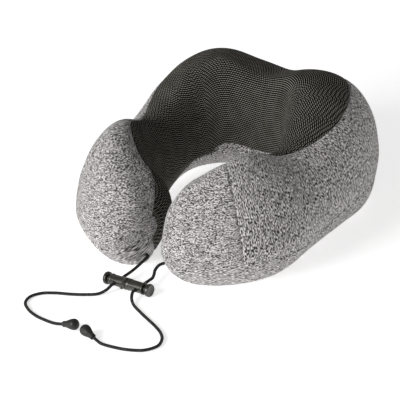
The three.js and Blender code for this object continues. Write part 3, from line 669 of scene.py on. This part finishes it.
def cover_rows():
    """Angles around the neck, closer together at the tip seams and at the tips."""
    edges = [step / MILLIMETRES_PER_DEGREE for step in EDGE_STEPS]
    seam_gap = SEAM_HALF_GAP / MILLIMETRES_PER_DEGREE
    half = list(np.linspace(0, TIP_SEAM_ANGLE - edges[-1], 116)[:-1])
    half += [TIP_SEAM_ANGLE - edge - seam_gap for edge in edges[::-1]]
    half += [TIP_SEAM_ANGLE + edge + seam_gap for edge in edges]
    half += list(np.linspace(half[-1], TIP_START, 18)[1:])
    turns = [step / TIP_MILLIMETRES for step in EDGE_STEPS]
    gap = SEAM_HALF_GAP / TIP_MILLIMETRES
    rounds = list(np.linspace(0, PATCH_TURN - turns[-1], 32)[1:-1])
    rounds += [PATCH_TURN - gap - turn for turn in turns[::-1]]
    rounds += [PATCH_TURN + gap + turn for turn in turns[:-1]]
    rounds += list(np.linspace(rounds[-1], math.radians(89), 5)[1:])
    into = np.sin(rounds) ** (2 / TIP_ROUNDNESS)
    half += list(TIP_START + (TIP_END - TIP_START) * into)
    return np.array([-angle for angle in half[:0:-1]] + half)


def per_place(angle, place):
    return np.linalg.norm(surface(angle, place + 0.02) - surface(angle, place - 0.02), axis=-1) / 0.04


def window_half_gap(angle):
    """The cover parts around the zip and closes again at both of its ends."""
    t = np.clip((ZIP_WINDOW_ANGLE - np.abs(angle)) / 2.4, 0, 1)
    return SEAM_HALF_GAP + ZIP_WINDOW * t ** 0.6


def columns_between(start, end, start_scale, end_scale, cells):
    edges = np.array(EDGE_STEPS)
    first = start[:, None] + edges / start_scale[:, None]
    last = end[:, None] - edges[::-1] / end_scale[:, None]
    share = np.linspace(0, 1, cells + 1)[None, 1:-1]
    middle = first[:, -1:] + (last[:, :1] - first[:, -1:]) * share
    return np.concatenate([first, middle, last], axis=1)


class Cover:
    """The grid of points that the sewn panels share: one row for each angle."""

    def __init__(self):
        self.rows = cover_rows()
        rows = self.rows
        top, outer, neck = neck_top_seam(rows), outer_base_seam(rows), neck_base_seam(rows)
        top_scale, outer_scale, neck_scale = (per_place(rows, seam) for seam in (top, outer, neck))
        gap, window = SEAM_HALF_GAP, window_half_gap(rows)
        side = columns_between(top + gap / top_scale, outer - window / outer_scale,
                               top_scale, outer_scale, SIDE_CELLS)
        base = columns_between(outer + window / outer_scale, neck - gap / neck_scale,
                               outer_scale, neck_scale, BASE_CELLS)
        neck_side = columns_between(neck + gap / neck_scale, 4 + top - gap / top_scale,
                                    neck_scale, top_scale, NECK_CELLS)
        self.place = np.concatenate([side, base, neck_side], axis=1)
        self.angle = np.repeat(rows[:, None], self.place.shape[1], axis=1)
        counts = np.cumsum([0, side.shape[1], base.shape[1], neck_side.shape[1]])
        self.spans = [(counts[k], counts[k + 1]) for k in range(3)]
        self.flat = surface(self.angle, self.place)
        self.out = surface_normal(self.angle, self.place)
        self.measure()
        self.raise_relief()

    def measure(self):
        """Lengths across and along the fabric, and the distance from each seam."""
        across = np.linalg.norm(np.diff(self.flat, axis=1, append=self.flat[:, :1]), axis=-1)
        self.across = np.cumsum(across, axis=1) - across
        ring_middle = len(self.rows) // 2
        along = np.linalg.norm(np.diff(self.flat, axis=0, prepend=self.flat[:1]), axis=-1)
        self.along = np.cumsum(along, axis=0)
        self.along -= self.along[ring_middle]
        edge = np.empty_like(self.across)
        for start, end in self.spans:
            part = self.across[:, start:end]
            edge[:, start:end] = np.minimum(part - part[:, :1], part[:, -1:] - part)
        self.edge = edge
        tip = np.abs(np.abs(self.angle) - TIP_SEAM_ANGLE) * np.hypot(self.flat[..., 0], self.flat[..., 1])
        tip *= np.pi / 180
        size = tip_size(self.angle)
        patch = np.abs(size - PATCH_SHARE) * TIP_MILLIMETRES
        is_side = np.zeros(edge.shape, bool)
        is_side[:, self.spans[0][0]:self.spans[0][1]] = True
        inside_patch = size < PATCH_SHARE
        seams = np.where(inside_patch, np.hypot(edge, patch), edge)
        tip = np.where(is_side, tip, np.hypot(tip, edge))
        patch = np.where(is_side, np.hypot(patch, edge), patch)
        self.seam_distance = np.minimum(seams, np.minimum(tip, patch))

    def raise_relief(self):
        """Panels roll in at their seams, swell a little between them and lie softly."""
        near = self.seam_distance
        groove = -GROOVE_DEPTH * np.exp(-(near / GROOVE_WIDTH) ** 2)
        swell = 0.45 * (1 - np.exp(-(near / 10) ** 2))
        pucker = 0.07 * np.exp(-near / 4.5) * np.sin(self.along / 1.35 + 2 * np.sin(self.along / 23))
        self.relief = groove + swell + pucker + soft_waves(self.flat)
        self.points = self.flat + self.out * self.relief[..., None] + np.array((0, PILLOW_SHIFT, 0))
        self.points[..., 2] = np.maximum(self.points[..., 2], 0)


def soft_waves(points):
    """Low uneven waves of a fabric that lies over foam."""
    random = np.random.default_rng(11)
    height = np.zeros(points.shape[:-1])
    for length, size in ((95, 0.35), (62, 0.25), (41, 0.18), (27, 0.1)):
        for _ in range(3):
            direction = random.normal(size=3)
            direction *= 2 * np.pi / length / np.linalg.norm(direction)
            height += size * np.sin(points @ direction + random.uniform(0, 2 * np.pi)) / 1.7
    return height


def cells_of(cover, span, keep_row, *hand):
    """Corner numbers of the cells in a span of columns, for the rows that are kept."""
    count = cover.place.shape[1]
    kept = [i for i in range(len(cover.rows) - 1) if keep_row(cover, i, *hand)]
    i = np.repeat(kept, span[1] - 1 - span[0])
    j = np.tile(np.arange(span[0], span[1] - 1), len(kept))
    return np.stack([i * count + j, (i + 1) * count + j, (i + 1) * count + j + 1, i * count + j + 1], 1)


def tip_cells(cover, side):
    """The rings of the end patch over all columns, closed by a fan at the tip."""
    count, last = cover.place.shape[1], len(cover.rows) - 1
    patch_rows = [i for i in range(last) if in_patch(cover, i, side)]
    i = np.repeat(patch_rows, count)
    j = np.tile(np.arange(count), len(patch_rows))
    after = (j + 1) % count
    cells = np.stack([i * count + j, (i + 1) * count + j, (i + 1) * count + after, i * count + after], 1)
    edge = last if side > 0 else 0
    tip = len(cover.rows) * count + (1 if side > 0 else 0)
    j = np.arange(count)
    first, second = edge * count + j, edge * count + (j + 1) % count
    fan = np.stack([first, np.full(count, tip), second], 1) if side > 0 else \
        np.stack([second, np.full(count, tip), first], 1)
    return cells, fan


def row_middle(cover, i):
    return (cover.rows[i] + cover.rows[i + 1]) / 2


def is_gap(cover, i):
    """The narrow row between the back panels and a tip panel, where their seam is left open."""
    narrow = abs(cover.rows[i + 1] - cover.rows[i]) < 0.12
    return narrow and abs(abs(row_middle(cover, i)) - TIP_SEAM_ANGLE) < 0.02


def in_back(cover, i):
    return abs(row_middle(cover, i)) < TIP_SEAM_ANGLE and not is_gap(cover, i)


def in_patch(cover, i, side):
    return side * row_middle(cover, i) > PATCH_ANGLE + 0.004


def before_patch(cover, i):
    return abs(row_middle(cover, i)) < PATCH_ANGLE - 0.004


def in_tip(cover, i, side):
    return side * row_middle(cover, i) > TIP_SEAM_ANGLE and not is_gap(cover, i) \
        and not in_patch(cover, i, side)


def thick_panel(name, cover, faces, material, weave):
    """A closed sheet FABRIC thick over some faces of the cover's grid."""
    points, out = cover.all_points, cover.all_out
    used = np.unique(np.concatenate([face.ravel() for face in faces]))
    number = np.full(len(points), -1)
    number[used] = np.arange(len(used))
    under = points[used] - out[used] * FABRIC
    under[:, 2] = np.maximum(under[:, 2], FLOOR_CLEARANCE)
    top = points[used].copy()
    low = under[:, 2] > top[:, 2]
    under[low, 2] = top[low, 2] + FLOOR_CLEARANCE
    listed, edges = [], []
    for group in faces:
        group = number[group]
        listed += group.tolist()
        listed += (group[:, ::-1] + len(used)).tolist()
        edges.append(np.stack([group, np.roll(group, -1, axis=1)], -1).reshape(-1, 2))
    edges = np.concatenate(edges)
    keys = edges[:, 0].astype(np.int64) * len(used) + edges[:, 1]
    back = edges[:, 1].astype(np.int64) * len(used) + edges[:, 0]
    rim = edges[~np.isin(back, keys)]
    shift = len(used)
    listed += [(b, a, a + shift, b + shift) for a, b in rim.tolist()]
    piece = make_object(name, np.vstack([top, under]), listed, material)
    store_weave(piece, np.tile(weave[used], (2, 1)))
    return piece


def tip_weave(points, side):
    """Across the tip's face first, then up it."""
    turn = math.radians(side * TIP_FACE_ANGLE)
    across = np.array((math.cos(turn), -math.sin(turn), 0.0))
    outward = np.array((math.sin(turn), math.cos(turn), 0.0))
    return np.stack([points @ across, points[:, 2], points @ outward], 1) * MM


def make_cover(grey, tip_grey, mesh):
    cover = Cover()
    tips = [surface(side * TIP_END, 0.0) + np.array((0, PILLOW_SHIFT, 0)) for side in (-1, 1)]
    directions = [np.array((side * math.cos(math.radians(side * TIP_END)),
                            -side * math.sin(math.radians(side * TIP_END)), 0.0)) for side in (-1, 1)]
    lift = [float(np.mean(cover.relief[0])), float(np.mean(cover.relief[-1]))]
    ends = [tip + direction * rise for tip, direction, rise in zip(tips, directions, lift)]
    cover.all_points = np.vstack([cover.points.reshape(-1, 3), ends])
    cover.all_out = np.vstack([cover.out.reshape(-1, 3), directions])
    side, base, neck = cover.spans

    def weave_of(first, second):
        flat = np.stack([first, second, np.zeros_like(first)], -1).reshape(-1, 3) * MM
        at_tips = np.zeros((2, 3))
        return np.vstack([flat, at_tips])

    rise = cover.across - cover.across[:, side[0] + SIDE_CELLS // 2:side[0] + SIDE_CELLS // 2 + 1]
    waist = np.abs(cover.place - 2)[:, side[0]:side[1]].argmin(axis=1) + side[0]
    along_waist = cover.along[np.arange(len(cover.rows)), waist][:, None] + 0 * rise
    faces = [cells_of(cover, side, in_back)]
    panel = thick_panel("side_cover", cover, faces, grey, weave_of(rise, along_waist))
    place_piece(panel, "pillow", "side_panel")

    base_along = np.radians(cover.angle) * BASE_WEAVE_RADIUS
    base_across = cover.across - cover.across[:, base[0]:base[0] + 1]
    faces = [cells_of(cover, base, before_patch)]
    panel = thick_panel("bottom_cover", cover, faces, grey, weave_of(base_along, base_across))
    place_piece(panel, "pillow", "bottom_panel")

    neck_middle = np.abs(cover.place - 4)[:, neck[0]:neck[1]].argmin(axis=1) + neck[0]
    neck_across = cover.across - cover.across[np.arange(len(cover.rows)), neck_middle][:, None]
    neck_along = np.radians(cover.angle) * NECK_WEAVE_RADIUS
    faces = [cells_of(cover, neck, before_patch)]
    panel = thick_panel("neck_cover", cover, faces, mesh, weave_of(neck_along, neck_across))
    place_piece(panel, "pillow", "neck_panel")

    for hand, word in ((-1, "left"), (1, "right")):
        faces = [cells_of(cover, side, in_tip, hand), *tip_cells(cover, hand)]
        panel = thick_panel(f"tip_cover_{word}", cover, faces, tip_grey, tip_weave(cover.all_points, hand))
        place_piece(panel, "pillow", f"tip_panel_{word}")
    return cover


def make_foam(cover, material):
    """The foam inside, clear of the seams' folds."""
    rows = list(range(0, len(cover.rows), FOAM_STRIDE))
    columns = list(range(0, cover.place.shape[1], FOAM_STRIDE))
    shift = np.array((0, PILLOW_SHIFT, 0))
    grid = (cover.flat - cover.out * FOAM_DEPTH)[np.ix_(rows, columns)] + shift
    grid[..., 2] = np.maximum(grid[..., 2], FOAM_FLOOR)
    near_seam = np.abs(cover.place - outer_base_seam(cover.angle)) < 0.16
    near_zip = near_seam & (np.abs(cover.angle) < 31)
    dent = ZIP_DENT * near_zip[np.ix_(rows, columns)]
    grid = grid - cover.out[np.ix_(rows, columns)] * dent[..., None]
    count = len(columns)
    points = list(grid.reshape(-1, 3))
    faces = []
    for i in range(len(rows) - 1):
        for j in range(count):
            k = (j + 1) % count
            faces.append((i * count + j, (i + 1) * count + j, (i + 1) * count + k, i * count + k))
    last = (len(rows) - 1) * count
    faces.append(list(range(count)))
    faces.append([last + j for j in range(count)][::-1])
    piece = make_object("foam_body", points, faces, material)
    place_piece(piece, "pillow", "foam_core")


# ---------- the zip ----------
ZIP_SEAM = surface(0.0, outer_base_seam(0.0))
ZIP_OUT = surface_normal(0.0, outer_base_seam(0.0))
ZIP_UP = np.array((0, -ZIP_OUT[2], ZIP_OUT[1]))
ZIP_SIDE = surface(ZIP_SEAM_ANGLE, outer_base_seam(ZIP_SEAM_ANGLE))
ZIP_SAG = ZIP_SEAM[1] - ZIP_SIDE[1]
ZIP_ARC_RADIUS = (ZIP_SIDE[0] ** 2 + ZIP_SAG ** 2) / (2 * ZIP_SAG)
ZIP_HALF_SPAN = math.degrees(ZIP_LENGTH / 2 / ZIP_ARC_RADIUS)
COIL_PITCH = 1.05
COIL_STEPS = 14
COIL_OFFSET = 1.42
COIL_WIDTH = 1.24
COIL_HEIGHT = -0.12
COIL_DEPTH = 1.04
COIL_WIRE = 0.24


def on_zip(turn, up, out):
    """A point by its angle along the zip, its place up the cover and its height over the seam."""
    turn = np.radians(turn)
    radius = ZIP_ARC_RADIUS + up * ZIP_UP[1] + out * ZIP_OUT[1]
    height = ZIP_SEAM[2] + up * ZIP_UP[2] + out * ZIP_OUT[2]
    y = ZIP_SEAM[1] - ZIP_ARC_RADIUS + radius * np.cos(turn) + PILLOW_SHIFT
    return np.stack([radius * np.sin(turn), y, height + 0 * turn], -1)


def make_zip(tape, plastic):
    for side, word in ((1, "upper"), (-1, "lower")):
        turns = np.linspace(-ZIP_HALF_SPAN - 0.6, ZIP_HALF_SPAN + 0.6, 90)
        profile = [(0.25, -1.55), (6.4, -1.75), (6.4, -1.3), (5.2, -0.98), (0.25, -0.98)]
        rings = [on_zip(turns, side * up, out) for up, out in profile]
        points = np.stack(rings, 1).reshape(-1, 3)
        faces, ring = [], len(profile)
        for i in range(len(turns) - 1):
            for k in range(ring):
                a, b = i * ring + k, i * ring + (k + 1) % ring
                faces.append((a, b, b + ring, a + ring)[::side])
        end = (len(turns) - 1) * ring
        faces.append(list(range(ring))[::-side])
        faces.append([end + k for k in range(ring)][::side])
        strip = make_object(f"zip_tape_{word}_strip", points, faces, tape, 30)
        place_piece(strip, "pillow", f"zip_tape_{word}")

        pitch = math.degrees(COIL_PITCH / ZIP_ARC_RADIUS)
        coils = int(2 * ZIP_HALF_SPAN / pitch)
        step = np.arange(coils * COIL_STEPS + 1) / COIL_STEPS
        wind = 2 * np.pi * step
        turns = -ZIP_HALF_SPAN + pitch * step
        up = side * (COIL_OFFSET + COIL_WIDTH / 2 * np.cos(wind))
        out = COIL_HEIGHT + COIL_DEPTH / 2 * np.sin(wind)
        path = on_zip(turns, up, out)
        radii = np.full((len(path), 6), COIL_WIRE)
        coil = sweep(f"zip_coil_{word}_teeth", path, radii, 6, plastic)
        place_piece(coil, "pillow", f"zip_coil_{word}")


# ---------- cord lock ----------
def at_lock():
    return Matrix.Translation(LOCK_CENTRE)


def make_barrel(material):
    r, end = LOCK_RADIUS, LOCK_HALF_LENGTH
    groove = [(0.0, r - 1.0), (0.7, r - 1.0), (0.95, r - 0.75), (1.0, r - 0.2)]
    shell = [(1.25, r), (3.2, r), (3.5, r - 0.12), (3.8, r - 0.35)]
    shell += [(17.6, r - 0.4), (17.9, r - 0.15), (18.2, r)]
    rim = [(end - 0.5, r), (end - 0.12, r - 0.22), (end, r - 0.6), (end, LOCK_BORE + 0.35)]
    bore = [(end - 0.3, LOCK_BORE), (1.5, LOCK_BORE), (1.5, 0)]
    half = groove + shell + rim + bore
    other = [(-along, radius) for along, radius in half[:0:-1]]
    barrel = turned("lock_body", other + half, 72, material, at_lock())
    for hand in (-1, 1):
        spin = Matrix.Rotation(math.pi / 2, 4, "Z")
        hole = Matrix.Translation(LOCK_CENTRE + Vector((hand * LOCK_CORD_PLACE, 0, 0))) @ spin
        bar = [(-12, 0), (-12, CORD_HOLE_RADIUS), (12, CORD_HOLE_RADIUS), (12, 0)]
        rod = turned("rod", bar, 32, material, hole)
        combine(barrel, rod, "DIFFERENCE")
    bead_at = Matrix.Translation(LOCK_CENTRE + Vector((-5.2, -3.9, -2.4)))
    arc = [math.pi * k / 16 for k in range(17)]
    size = 2.3
    ball = [(-size * math.cos(a), size * math.sin(a) if 0 < a < math.pi - 1e-6 else 0) for a in arc]
    bead = turned("bead", ball, 32, material, bead_at)
    core = turned("core", [(-9, 0), (-9, 4.4), (-2, 4.4), (-2, 0)], 48, material, at_lock())
    combine(bead, core, "DIFFERENCE")
    combine(barrel, bead, "UNION")
    place_piece(barrel, "lock", "lock_barrel")


def make_button(hand, word, material):
    """A plunger with a dished disc head and a slot that the cord runs through."""
    low = LOCK_CORD_PLACE - CORD_RADIUS - CORD_CLEARANCE
    start = low - BUTTON_FOOT
    head = LOCK_HALF_LENGTH + BUTTON_TRAVEL + 0.3
    end, r = head + BUTTON_HEAD_THICK, BUTTON_HEAD
    profile = [(start, 0), (start, BUTTON_STEM - 0.4), (start + 0.4, BUTTON_STEM), (head + 0.5, BUTTON_STEM)]
    profile += [(head + 0.25, r - 1.3), (head + 0.35, r - 0.5), (head + 0.8, r - 0.08), (head + 1.3, r)]
    profile += [(end - 1.1, r), (end - 0.5, r - 0.18), (end - 0.1, r - 0.7), (end, r - 1.2)]
    profile += [(end - 0.15, r - 1.6), (end - 0.7, 3.2), (end - 1.05, 1.5), (end - 1.15, 0)]
    turn = Matrix.Rotation(0 if hand > 0 else math.pi, 4, "Z")
    button = turned(f"lock_plunger_{word}", profile, 56, material, at_lock() @ turn)
    high = low + 2 * CORD_RADIUS + BUTTON_TRAVEL + 1
    x0, x1 = sorted((hand * low, hand * high))
    c, tall = LOCK_CENTRE, CORD_HOLE_RADIUS
    slot = box_piece("slot", (c.x + x0, c.y - 10, c.z - tall), (c.x + x1, c.y + 10, c.z + tall), material)
    combine(button, slot, "DIFFERENCE")
    place_piece(button, f"button_{word}", f"lock_button_{word}")


def make_spring(hand, word, material):
    """A return spring from the barrel's middle wall to the plunger, fixed to the lock's body."""
    c = LOCK_CENTRE
    share = np.linspace(0, 1, SPRING_TURNS * 24 + 1)
    turn = 2 * np.pi * SPRING_TURNS * share
    first, last = SPRING_START + SPRING_WIRE, SPRING_END - SPRING_WIRE
    x = c.x + hand * (first + (last - first) * share)
    path = np.stack([x, c.y + SPRING_RADIUS * np.cos(turn), c.z + SPRING_RADIUS * np.sin(turn)], -1)
    spring = sweep(f"lock_return_spring_{word}", path, np.full((len(path), 8), SPRING_WIRE), 8, material)
    place_piece(spring, "lock", f"lock_spring_{word}")
    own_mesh(spring)


# ---------- build ----------
make_camera()
make_studio()

BRAID = braided("cord_braid_look")
RUBBER = moulded("end_rubber_look", (0.010, 0.0098, 0.0092), 0.55, 0.0, 0.12)
for hand, label in ((-1, "left"), (1, "right")):
    make_cord(hand, label, BRAID, make_cord_end(hand, label, RUBBER))

GREY = heather_knit("grey_knit_look", 1450, dark=(0.03, 0.028, 0.028), middle=(0.23, 0.217, 0.214),
                    light=(0.82, 0.785, 0.775))
TIP_GREY = heather_knit("tip_knit_look", 2200, dark=(0.05, 0.047, 0.047), middle=(0.24, 0.226, 0.223),
                        light=(0.74, 0.71, 0.7))
MESH = mesh_knit("mesh_knit_look", 2.05 * MM, 2.9 * MM)
COVER = make_cover(GREY, TIP_GREY, MESH)
make_foam(COVER, open_foam("foam_look"))

PLASTIC = moulded("lock_plastic_look", (0.022, 0.021, 0.015), 0.26, 0.35, 0.06)
make_barrel(PLASTIC)
for hand, label in ((-1, "left"), (1, "right")):
    make_button(hand, label, PLASTIC)

ZIP_PLASTIC = moulded("zip_plastic_look", (0.014, 0.014, 0.014), 0.4)
make_zip(plain_weave("zip_tape_look", 0.03, 0.8 * MM), ZIP_PLASTIC)
STEEL = metal("zip_metal_look", (0.42, 0.42, 0.43), 0.3)
SPRING = metal("spring_steel_look", (0.6, 0.6, 0.6), 0.25)
for hand, label in ((-1, "left"), (1, "right")):
    make_spring(hand, label, SPRING)
for node in ("zip_slider", "zip_pull", "zip_stop_left", "zip_stop_right"):
    for slot in bpy.data.objects[node].material_slots:
        slot.material = STEEL

floor_look = Look("floor_look")
floor_look.finish(Base_Color=(0.95, 0.95, 0.95, 1), Roughness=0.9, Specular_IOR_Level=0.1,
                  Emission_Color=(1, 1, 1, 1), Emission_Strength=0.6)
floor = box_piece("floor", (-3000, -3000, -40), (3000, 3000, -0.3), floor_look.material)
